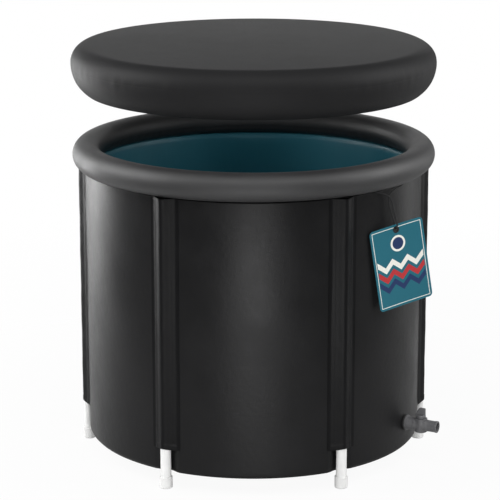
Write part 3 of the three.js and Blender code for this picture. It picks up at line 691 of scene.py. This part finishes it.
def lid_lower(inset):
    """Profile from the weld down: a quadratic Bezier that draws in to the underside, then the flat to the
    middle."""
    weld = [[LID_RADIUS - inset - 0.15, LID_SEAM - 0.05], [LID_RADIUS - inset - 0.05, LID_SEAM - 1.0]]
    t = np.linspace(0, 1, 26)[:, None]
    ends = np.array([[LID_RADIUS, 64.0], [LID_RADIUS - 3, 22.0], [LID_UNDERSIDE, inset]]) - (inset, 0)
    side = (1 - t) ** 2 * ends[0] + 2 * t * (1 - t) * ends[1] + t**2 * ends[2]
    flat = np.linspace(LID_UNDERSIDE - 6 - inset, 0, 14)
    return np.vstack([weld, side, np.stack([flat, np.full(14, inset)], -1)])


def lid_skin(face, sides=480):
    """A face turned about the axis, with its inner face behind it. Near the weld the radius gathers by up to
    0.7 mm, and the top's edge swells by half a millimetre in slow waves."""
    a, r, h = two_faced(face, LID_CLOTH, sides)
    r = r - 0.7 * gathers(a, (37, 53, 71, 89)) * bell(h - LID_SEAM, 16) * (r > 300)
    swell = 0.5 * np.sin(3 * a + 1.0) * (r / LID_RADIUS) ** 2 * bell(h - 112, 20)
    return surface(spot(np.degrees(a), r, LID_BOTTOM + h + swell))


def tie_web(radius, steps=160):
    """A band of cloth from the lid's bottom to its top, bent nearly all the way round, so that air passes its
    ends."""
    a = np.linspace(WEB_GAP, 360 - WEB_GAP, steps)[None, :]
    h = LID_BOTTOM + np.array([1.8, 20, 60, 95, lid_top_height(radius) - 3.0])[:, None]
    return shell(spot(a, radius, h), spot(a, radius - WEB_CLOTH, h))


upper, lower = mesh_of("lid_top", lid_skin(lid_upper)), mesh_of("lid_bottom", lid_skin(lid_lower))
lid_top = dress(upper, LID_FABRIC, "lid", "lid_top_skin")
lid_bottom = dress(lower, LID_FABRIC, "lid", "lid_bottom_skin")
for place, radius in (("inner", 150.0), ("outer", 300.0)):
    web = dress(mesh_of(f"lid_{place}_tie", tie_web(radius)), TIE_FABRIC, "lid", f"lid_{place}_web")
    length = 2 * math.pi * radius * MM * (360 - 2 * WEB_GAP) / 360

# %% [markdown]
# ## The padded wall
# The outside is one length of coated fabric over a layer of foam. Each leg presses a smooth groove into it,
# the lower edge rolls in to the base, and the upper edge goes in under the ring. A plain cylinder would look
# like pipe, so the formula adds slow ripples of half a millimetre, and the grid has closer points in the
# grooves. The upright weld at the back is in the fabric's finish.

# %% Wall skin and base panel
LEGS = np.arange(30, 390, 60)
GROOVE_DEPTH, GROOVE_HALF = 9.7, 5
WALL_BOTTOM, WALL_TOP, WALL_CLOTH = 39.0, 685.4, 1.2
WALL_ROLL, WALL_TUCK = 7, 4
DRAIN, DRAIN_HEIGHT = outward(64), 98
DRAIN_LINE = DRAIN, np.array([0, DRAIN_HEIGHT, 0]) @ DRAIN


def drain_bore():
    """The hole for the drain's thread through every layer of the wall, as a solid to cut with."""
    return lathe(rod(13.8, 355, 428), *DRAIN_LINE, 64)


def groove(degrees):
    """Depth that the nearest leg presses into the wall, as cos^2, down to 0 at 5 degrees from it."""
    off = np.abs(degrees % 60 - 30)
    return GROOVE_DEPTH * np.cos(ramp(off, 0, GROOVE_HALF) * np.pi / 2) ** 2


def wall_face(degrees, height, inset=0.0):
    """Distance from the axis: 399.5 mm less the groove, less a roll of 6 mm at the lower edge and a tuck of
    5 mm under the ring, with ripples of about half a millimetre that die out at both edges."""
    a = np.radians(degrees)
    low = ramp(height, WALL_BOTTOM + WALL_ROLL, WALL_BOTTOM)
    high = ramp(height, WALL_TOP - WALL_TUCK, WALL_TOP)
    ripple = 0.32 * np.sin(4 * a + height / 91) + 0.24 * np.sin(9 * a - height / 57 + 1.0)
    ripple = ripple + 0.14 * np.sin(17 * a + height / 38)
    roll = 6 * (1 - np.sqrt(1 - low**2)) + 5 * high**2
    return WALL_RADIUS - 0.5 - inset - groove(degrees) - roll + ripple * (1 - low) * (1 - high)


in_groove = np.linspace(-GROOVE_HALF, GROOVE_HALF, 30, endpoint=False)
in_panel = np.linspace(GROOVE_HALF, 60 - GROOVE_HALF, 60, endpoint=False)
angles = (LEGS[:, None] + np.r_[in_groove, in_panel]).reshape(1, -1)
rolled = WALL_BOTTOM + WALL_ROLL * (1 - np.cos(np.linspace(0, np.pi / 2, 8)))
heights = np.r_[rolled, np.linspace(52, 670, 58), np.linspace(676, WALL_TOP, 12)][:, None]
wall_rows = np.concatenate([heights, heights[::-1]])
insets = np.repeat([0.0, WALL_CLOTH], len(heights))[:, None]
wall_points = spot(angles, wall_face(angles, wall_rows, insets), wall_rows)
wall_around = np.radians(np.r_[angles[0], angles[0, 0] + 360]) * WALL_RADIUS
wall_up = np.r_[wall_rows[:, 0], wall_rows[0, 0]]
wall_map = MM * np.stack(np.meshgrid(wall_around, wall_up), -1)
wall_mesh = carved("wall_fabric", surface(wall_points, True, wall_map), removed=[drain_bore()])
wall = dress(wall_mesh, WALL_FABRIC, "tub", "wall_skin")


def base_disc():
    """The base: a disc with the wall's own outline rolled in by 5 mm, from the middle of its underside round
    the edge."""
    share = np.r_[np.linspace(0, 1, 16), 1.0, np.linspace(1, 0, 16)][:, None]
    height = np.r_[np.full(16, 37.0), 37.75, np.full(16, 38.5)][:, None]
    edge = np.r_[np.zeros(15), -0.4, 0.2, -0.4, np.zeros(15)][:, None]
    return surface(spot(angles, share * (WALL_RADIUS - 5.5 - groove(angles)) + edge, height))


base = dress(mesh_of("base_fabric", base_disc()), BLACK_FABRIC, "tub", "base_panel")

# %% [markdown]
# ## The liner
# Inside is a waterproof cup of dark teal film: a floor, a rounded corner and a wall that goes up behind the
# ring. Where the floor meets the wall the film has more cloth than room, so it gathers into small radial
# folds.

# %% Liner cup
LINER_RADIUS, LINER_CLOTH, LINER_FLOOR, LINER_CORNER = 383.8, 1.2, 51.5, 14.0


def liner_profile(inset):
    """From the floor's middle out, round a quarter-circle corner, up the wall, and out under the ring."""
    start = LINER_RADIUS - LINER_CORNER
    floor = np.linspace(0, start, 26)[:-1]
    turn = np.linspace(0, np.pi / 2, 14)
    quarter = (LINER_CORNER - inset) * np.stack([np.sin(turn), -np.cos(turn)], -1)
    up = np.stack([np.full(44, LINER_RADIUS - inset), np.linspace(80, 672, 44)], -1)
    lip = np.array([[0.8 - inset, 679.5], [2.6 - 0.7 * inset, 683.6 + 0.7 * inset], [7.4, 684.7 + inset]])
    flat = np.stack([floor, np.full(25, LINER_FLOOR + inset)], -1)
    return np.vstack([flat, quarter + (start, LINER_FLOOR + LINER_CORNER), up, lip + (LINER_RADIUS, 0)])


def liner_cup(sides=420):
    """The profile turned about the axis, as film with a thickness. Folds of up to 1.2 mm in the corner fade
    over 30 mm, and the wall has slow waves of up to a millimetre, always inwards."""
    a, r, h = two_faced(liner_profile, LINER_CLOTH, sides)
    folds = 1.2 * gathers(a, (41, 59, 73, 101)) * bell(np.hypot(r - 377, h - 58), 26)
    slow = 0.25 * (2 + np.sin(5 * a + h / 70) + np.sin(11 * a - h / 45)) * ramp(h, 70, 130)
    return surface(spot(np.degrees(a), r - folds - slow, h + 0.6 * folds))


liner_mesh = carved("liner_cup", liner_cup(), removed=[drain_bore()])
liner = dress(liner_mesh, LINER_FILM, "tub", "wall_liner")

# %% [markdown]
# ## The leg sleeves
# Each leg stands in a sleeve: a strip of the wall's fabric laid over the pipe and welded down along both
# sides. So its section hugs the pipe in the middle and lies flat on the wall at the edges, and its lower end
# has a folded hem.

# %% Sleeves
SLEEVE_BOTTOM, SLEEVE_LENGTH, SLEEVE_HALF, SLEEVE_CLOTH = 92, 591, 36.0, 1.2
SLEEVE_REST, SLEEVE_RISE = 400.3, 15.8


def sleeve(degrees):
    """Across the strip, the inner face is a circle of 400.3 mm plus 15.8 exp(-(t / 16.5)^2) over the pipe,
    and the wall's own face plus 0.3 mm at the edges, with a smooth step from one to the other between 22 and
    33 mm. The cloth thins out to the edges. The hem at the lower end is 0.7 mm thicker over 13 mm, and is cut
    higher over the pipe than at the wall."""
    t = np.linspace(-SLEEVE_HALF, SLEEVE_HALF, 73)[None, :]
    hem_rows = [0, 0.3, 1.2, 4, 10, 12.6, 13.4, 14.4, 17]
    up = np.r_[hem_rows, np.linspace(24, 580, 62), 586, SLEEVE_LENGTH][:, None]
    z = SLEEVE_BOTTOM + up + 5 * bell(t, 15) * (1 - up / SLEEVE_LENGTH)
    step = ramp(np.abs(t), 22, 33)
    step = step * step * (3 - 2 * step)
    lean = np.arcsin(t / WALL_RADIUS)
    over_pipe = np.sqrt(SLEEVE_REST**2 - t**2) + SLEEVE_RISE * bell(t, 16.5)
    over_wall = wall_face(degrees + np.degrees(lean), np.maximum(z, 60)) * np.cos(lean) + 0.3
    slack = 0.25 * np.sin(z / 23 + degrees) * bell(t, 14) + 0.15 * np.sin(z / 9.1 + t / 6 + degrees)
    inner = (over_pipe + slack) * (1 - step) + over_wall * step
    hem = ramp(up, 13.6, 12.4) * np.maximum(ramp(up, -0.4, 0.8), 0.3)
    outer = inner + SLEEVE_CLOTH - 0.8 * step + 0.7 * hem * (1 - step)
    axes = outward(degrees)
    return shell(*(placed(np.stack(np.broadcast_arrays(t, z, out), -1), axes) for out in (outer, inner)))


for number, degrees in enumerate(LEGS, 1):
    strip = dress(mesh_of(f"sleeve_{number}", sleeve(degrees)), BLACK_FABRIC, "tub", f"leg_sleeve_{number}")

# %% [markdown]
# ## Legs and feet
# The legs are white plastic pipe, and each ends in a slip-on cap. Both are turned profiles with small rounded
# edges, because an edge that is perfectly sharp never catches the light.

# %% Pipes and feet
LEG_OUT = 403.0
PIPE_PROFILE = ring_section(10.25, 12.25, 3.6, 674, 0.5)
FOOT_PROFILE = rounded([
    [0, 0], [13.2, 0], [15.25, 2.0], [15.05, 24.2], [15.45, 24.8], [15.4, 27], [12.55, 27],
    [12.55, 3.3], [0, 3.3],
], 0.9)
for number, degrees in enumerate(LEGS, 1):
    stand = np.eye(3), np.array([0, 0, LEG_OUT]) @ outward(degrees)
    pipe = mesh_of(f"pipe_{number}", lathe(PIPE_PROFILE, *stand, 72))
    foot = mesh_of(f"foot_{number}", lathe(FOOT_PROFILE, *stand, 72))
    dress(pipe, WHITE_PIPE, "tub", f"leg_pipe_{number}")
    dress(foot, WHITE_FOOT, "tub", f"leg_foot_{number}")

# %% [markdown]
# ## The drain valve
# Water leaves through a tailpiece clamped in the wall, a plug valve and a spout. Everything but the handle's
# fin is a turned profile on the drain's axis or on the plug's upright axis. The body is the two turned shapes
# joined as solids, with the bore, the spout's mouth and the plug's seat cut out, as a mould would leave them.

# %% Washers, nut and tailpiece
NUT_CORNER, NUT_FLAT = 20.2, 17.75


def six_flats(r, turn, h):
    """Radius change that makes the nut's outer side a hexagon, flat / cos a, with eased corners."""
    off = (turn + np.pi / 6) % (np.pi / 3) - np.pi / 6
    share = np.minimum(NUT_FLAT / np.cos(off), NUT_CORNER) / NUT_CORNER
    return np.where(r > 17, r * (share - 1), 0)


def union_flutes(r, turn, h):
    """Twenty grip flutes, cut 0.36 mm into the tailpiece's outer end."""
    return -0.357 * (0.5 - 0.5 * np.cos(20 * turn)) * ramp(h, 410, 411.5) * ramp(h, 421.5, 420)


for side, start, end in (("outer", 399.3, 402.7), ("inner", 378.3, 382.2)):
    washer = lathe(ring_section(13.3, 18.5, start, end, 0.8), *DRAIN_LINE)
    dress(mesh_of(f"{side}_washer", washer), RUBBER, "tub", f"drain_{side}_washer")
nut = lathe(ring_section(13.3, NUT_CORNER, 372, 378, 0.9), *DRAIN_LINE, 120, six_flats)
dress(mesh_of("lock_nut", nut), CHARCOAL, "tub", "drain_locknut")
TAIL_PROFILE = rounded([
    [8, 400], [8, 369], [13, 369], [13, 403], [18.5, 403], [18.5, 407], [15, 407], [15, 409], [15.3, 409.4],
    [15.3, 411.5], [15.3, 420], [15.3, 422.8], [14.7, 423.7], [8, 423.7], [8, 400],
], 0.7)[:-1]
tail = lathe(TAIL_PROFILE, *DRAIN_LINE, 160, union_flutes)
dress(mesh_of("tailpiece", tail), CHARCOAL, "tub", "drain_tailpiece")

# %% Valve body and handle
BARREL = 440.0
PLUG_LINE = DRAIN[[2, 0, 1]], np.array([0, DRAIN_HEIGHT, BARREL]) @ DRAIN
FIN_FOOT, FIN_SHOULDER, FIN_TOP, FIN_HALF = 19, 39.3, 41.8, 3.25
RUN_PROFILE = rounded([
    [0, 424], [15.4, 424], [15.4, 428], [14.9, 428.6], [14.2, 454], [13.4, 460], [13.4, 476.6], [14, 477.4],
    [14, 482], [0, 482],
], 0.8)
BARREL_PROFILE = rounded([[0, -16.5], [14.4, -16.5], [14.8, 0], [14.8, 16.5], [0, 16.5]], 1.0)
HUB_PROFILE = rounded([[0, 16.8], [11, 16.8], [11, 23.4], [9.6, 24.8], [0, 24.8]], 1.2)

bore, mouth = lathe(rod(8, 423, 483), *DRAIN_LINE), lathe(rod(9.9, 455.3, 483, 10.6), *DRAIN_LINE)
seat, stud_hole = lathe(rod(11.9, -13.8, 18), *PLUG_LINE), lathe(rod(3.8, -18, 0), *PLUG_LINE)
run, barrel = lathe(RUN_PROFILE, *DRAIN_LINE), lathe(BARREL_PROFILE, *PLUG_LINE)
casing = carved("valve_casing", run, [barrel], [bore, mouth, seat, stud_hole])
dress(casing, CHARCOAL, "tub", "valve_body")


def squared(wave):
    """A sine or cosine pushed towards -1 and 1, which makes a circle a rounded bar."""
    return np.sign(wave) * np.abs(wave) ** 0.4


def fin(rows=26, columns=72):
    """The handle's fin: level by level a rounded bar, |x / half length|^5 + |y / 3.25|^5 = 1, between a
    slanted back edge and a steep front edge, drawn in over the top 2.5 mm and closed by a point."""
    rounding = np.sin(np.linspace(0.1, np.pi / 2, 8))
    straight = np.linspace(FIN_FOOT, FIN_SHOULDER, rows - 8)
    up = np.r_[straight, FIN_SHOULDER + (FIN_TOP - FIN_SHOULDER) * rounding][:, None]
    back = np.interp(up, [FIN_FOOT, 24.8, FIN_TOP], [-14, -14, -4.6])
    front = np.interp(up, [FIN_FOOT, FIN_TOP], [11, 10.5])
    ease = 2.6 * (1 - np.sqrt(1 - ramp(up, FIN_SHOULDER, FIN_TOP) ** 2))
    turn = full_turn(columns)
    x = (front + back) / 2 + ((front - back) / 2 - ease) * squared(np.cos(turn))
    y = (FIN_HALF - ease) * squared(np.sin(turn))
    bars = np.stack(np.broadcast_arrays(x, y, up), -1)
    return surface(placed(capped(bars, bars[0].mean(0), bars[-1].mean(0)), *PLUG_LINE))


handle = carved("handle", lathe(HUB_PROFILE, *PLUG_LINE), [fin()], [lathe(rod(5.3, 10, 21.8), *PLUG_LINE)])
dress(handle, CHARCOAL, "drain_plug", "valve_handle")
clip = lathe(ring_section(3.8, 8, -18.8, -16.8, 0.5), *PLUG_LINE, 64)
dress(mesh_of("stud_clip", clip), RUBBER, "drain_plug", "plug_clip")

# %% [markdown]
# ## The air valves
# The ring and the lid are blown up through small flanged valves with push-in caps. The ring's valve sits low
# at the back, and its flange is a saddle bent over the tube: each point drops by 33 - sqrt(33^2 - y^2). The
# lid's is underneath.

# %% Air valves and caps
SLANT = math.sqrt(0.5)
RING_VALVE = (
    np.array([[-1, 0, 0], [0, SLANT, SLANT], [0, SLANT, -SLANT]]),
    np.array([0, RING_RADIUS + RING_TUBE * SLANT, RING_HEIGHT - RING_TUBE * SLANT]),
)
LID_VALVE = np.array([[1, 0, 0], [0, -1, 0], [0, 0, -1]]), np.array([0, 225, LID_BOTTOM])
NECK_PROFILE = rounded([
    [5.5, -4], [5.5, -12], [7.5, -12], [7.5, 0.3], [14, 0.3], [14, 1.5], [12.4, 2.4], [8.2, 2.4], [7.6, 2.4],
    [5.5, 2.4], [5.5, -4],
])[:-1]
CAP_PROFILE = rounded([
    [0, -8], [4.9, -8], [5.2, 2.7], [9, 2.7], [9, 5.6], [7.8, 6.7], [4.5, 6.7], [4.0, 6.1], [0, 6.1],
])


def cap_flutes(r, turn, h):
    """Grip flutes round a cap's rim: 0.18 mm times cos 22 a."""
    return 0.18 * np.cos(22 * turn) * ramp(h, 2.6, 2.9) * ramp(h, 6.0, 5.5)


def neck(bend):
    """The flanged neck. On the ring the flange drops with the tube's curve, by a share bend of it."""
    points = turned(NECK_PROFILE)
    drop = bend * (RING_TUBE - np.sqrt(RING_TUBE**2 - points[..., 1] ** 2))
    points[..., 2] -= np.where(np.hypot(points[..., 0], points[..., 1]) > 8.0, drop, 0)
    return points


for host, line, bend, root in (("ring", RING_VALVE, 1.0, "tub"), ("lid", LID_VALVE, 0.0, "lid")):
    valve = mesh_of(f"{host}_valve", surface(placed(neck(bend), *line), True))
    cap = mesh_of(f"{host}_cap_plug", lathe(CAP_PROFILE, *line, 132, cap_flutes))
    dress(valve, CHARCOAL, root, f"{host}_air_valve")
    dress(cap, CHARCOAL, f"{host}_cap", f"{host}_air_cap")

# %% [markdown]
# ## The foam, and the pieces that stay as they are
# The foam fills the room between the wall's fabric and the liner, so it is made from the fabric's own face,
# two millimetres further in. The floor's foam and the plug inside the valve are already right in the CAD
# model and hardly show. They keep their meshes and only get a finish.

# %% Foam wall, and finishes for the carried-over nodes
FOAM_INSET, FOAM_INSIDE = 1.9, 384.3


def foam_wall():
    """The wall's face less an inset outside, and a cylinder inside, closed round both ends."""
    up = np.r_[44, np.linspace(50, 668, 60), 674][:, None]
    outer = wall_face(angles, up, FOAM_INSET)
    rows = np.concatenate([outer, np.full_like(outer, FOAM_INSIDE)])
    return surface(spot(angles, rows, np.concatenate([up, up[::-1]])), True)


foam_mesh = carved("foam_wall", foam_wall(), removed=[drain_bore()])
dress(foam_mesh, FOAM, "tub", "wall_foam")
for name, finish in (("floor_foam", FOAM), ("valve_plug", CHARCOAL), ("plug_seal_ring", RUBBER)):
    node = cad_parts[name]
    node.data.materials.clear()
    node.data.materials.append(finish)
print("carried over", [n for n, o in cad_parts.items() if not o.hide_render])

# %% [markdown]
# ## Floor and light
# The picture is a studio one on white. On each side one lamp stands a little behind the tub and edges its
# wall, and another stands beside it, higher up, for the ring and the lid. The left pair is brighter. A broad
# lamp high in front lights the tops, a small one low in front draws the bright line down the wall, a narrow
# one level with the gap under the lid lights the mouth, and a wide one behind edges the lid. The floor takes
# the shadow, and shows as white to the camera, so no extra light has to fall on the tub for it.

# %% Floor
def camera_ray(f):
    """1 for rays from the camera, 0 for the light that falls on things and for what they mirror."""
    return f.node("ShaderNodeLightPath", output="Is Camera Ray")


def studio_floor():
    """Pale matt floor, nearly all self-lit where the camera sees it, fading into the white world away from
    the tub."""
    f = new_finish("studio_floor")
    matt = f.node("ShaderNodeBsdfDiffuse", None, {"Color": tone(208, 208, 208)})
    white = f.node("ShaderNodeEmission", None, {"Strength": 1.0})
    far = f.node("ShaderNodeVectorMath", {"operation": "LENGTH"}, {0: f.place()}, "Value").rise(0.8, 2.6)
    lit = f.node("ShaderNodeMixShader", None, {0: camera_ray(f) * 0.94, 1: matt, 2: white})
    clear = f.node("ShaderNodeBsdfTransparent")
    faded = f.node("ShaderNodeMixShader", None, {0: far, 1: lit, 2: clear})
    f.node("ShaderNodeOutputMaterial", None, {"Surface": faded})
    return f.owner


floor_disc = spot(np.degrees(full_turn(96)), np.linspace(0, 3000, 24)[:, None], -0.6)
floor_mesh = mesh_of("studio_floor", surface(floor_disc))
floor_mesh.materials.append(studio_floor())
floor = bpy.data.objects.new("studio_floor", floor_mesh)
scene.collection.objects.link(floor)
floor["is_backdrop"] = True
print("floor ready")

# %% World and lamps
world = Finish(bpy.data.worlds.new("studio_world"))
soft = world.node("ShaderNodeBackground", None, {"Color": (1, 1, 1, 1), "Strength": 0.25})
white = world.node("ShaderNodeBackground", None, {"Color": (1, 1, 1, 1), "Strength": 1.0})
sky = world.node("ShaderNodeMixShader", None, {0: camera_ray(world), 1: soft, 2: white})
world.node("ShaderNodeOutputWorld", None, {"Surface": sky})
scene.world = world.owner


def softbox(name, at, towards, width, height, watts):
    """A rectangular lamp that faces a point and isn't seen itself."""
    data = bpy.data.lights.new(name, "AREA")
    data.shape, data.size, data.size_y, data.energy = "RECTANGLE", width, height, watts
    lamp = bpy.data.objects.new(name, data)
    lamp.location = at
    lamp.rotation_euler = (Vector(towards) - Vector(at)).to_track_quat("-Z", "Y").to_euler()
    lamp.visible_camera = False
    scene.collection.objects.link(lamp)


softbox("left_edge_light", (-2.1, 1.5, 0.6), (0, 0, 0.5), 1.3, 1.4, 42)
softbox("left_side_light", (-2.2, -0.2, 1.8), (0, 0, 0.7), 1.6, 1.7, 51)
softbox("right_edge_light", (2.1, 1.2, 0.7), (0, 0, 0.5), 0.8, 1.4, 5)
softbox("right_side_light", (2.2, -0.2, 1.8), (0, 0, 0.7), 1.4, 1.7, 36)
softbox("low_front_light", (0.0, -1.7, 0.12), (0, 0, 0.25), 0.6, 0.2, 5.4)
softbox("mouth_light", (0.0, -3.0, 0.98), (0, 0, 0.75), 1.6, 0.16, 8)
softbox("high_front_light", (0.1, -2.0, 3.2), (0, 0, 0.5), 2.4, 1.8, 46)
softbox("back_light", (0.0, 3.6, 1.7), (0, 0, 0.95), 3.0, 0.9, 12)

# %% [markdown]
# ## Size and hand-over
# The dressed tub has to stay the size of the CAD model. The two boxes are written down together, and the
# frame's own checks end the script.

# %% Sizes and finish
visual_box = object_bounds()
for name, box in (("cad", cad_box), ("visual", visual_box)):
    print(name, [round(x, 4) for x in box[1] - box[0]])
